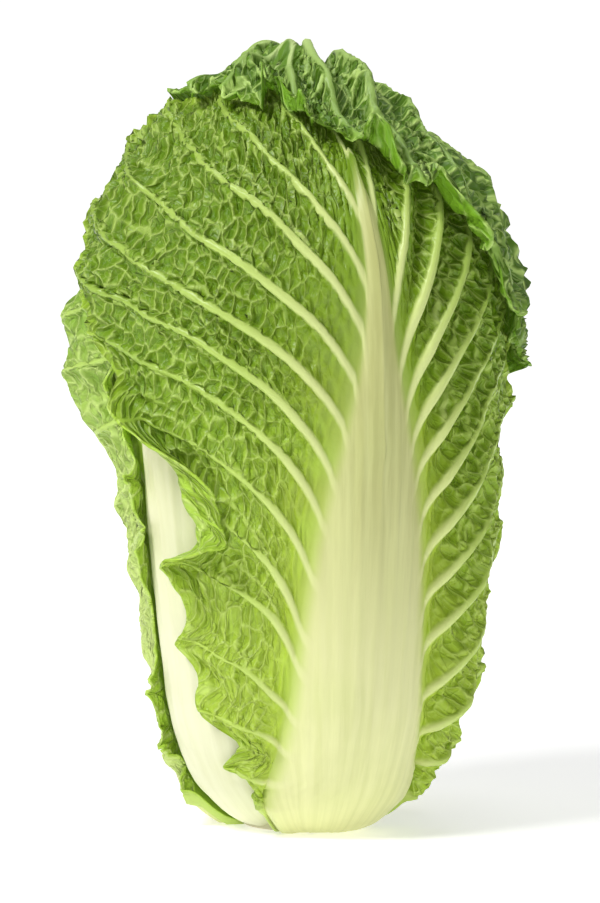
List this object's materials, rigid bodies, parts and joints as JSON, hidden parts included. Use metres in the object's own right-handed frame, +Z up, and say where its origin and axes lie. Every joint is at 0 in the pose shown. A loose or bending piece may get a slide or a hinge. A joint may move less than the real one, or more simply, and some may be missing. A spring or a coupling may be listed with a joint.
{
  "type": "napa cabbage",
  "caption": "Upright barrel head of napa cabbage on its cut stem: overlapping crinkled wrapper leaves with broad pale ribs round a packed heart, closed at the top by a folded leaf.",
  "frame": {"origin": "centre of the cut face of the stem, where the head rests", "axes": "+Z up along the head, -Y towards the front leaf's side as pictured, +X to the right"},
  "size_m": [0.1782, 0.1713, 0.2974],
  "materials": {
    "stem": "dry cut core, matt, cream with a slightly darker rim",
    "heart": "pale yellow-green inner leaves, soft satin",
    "wrapper_leaf": "crinkled green blade with pale veins and a glossy cream rib, satin",
    "closing_leaf": "darker green, finely netted, nearly matt"
  },
  "bodies": {
    "root": {"stem": "stem", "heart": "heart", "leaf_left": "wrapper_leaf", "leaf_right": "wrapper_leaf", "leaf_front": "wrapper_leaf", "leaf_back_left": "wrapper_leaf", "leaf_back_hood": "closing_leaf"}
  },
  "joints": []
}
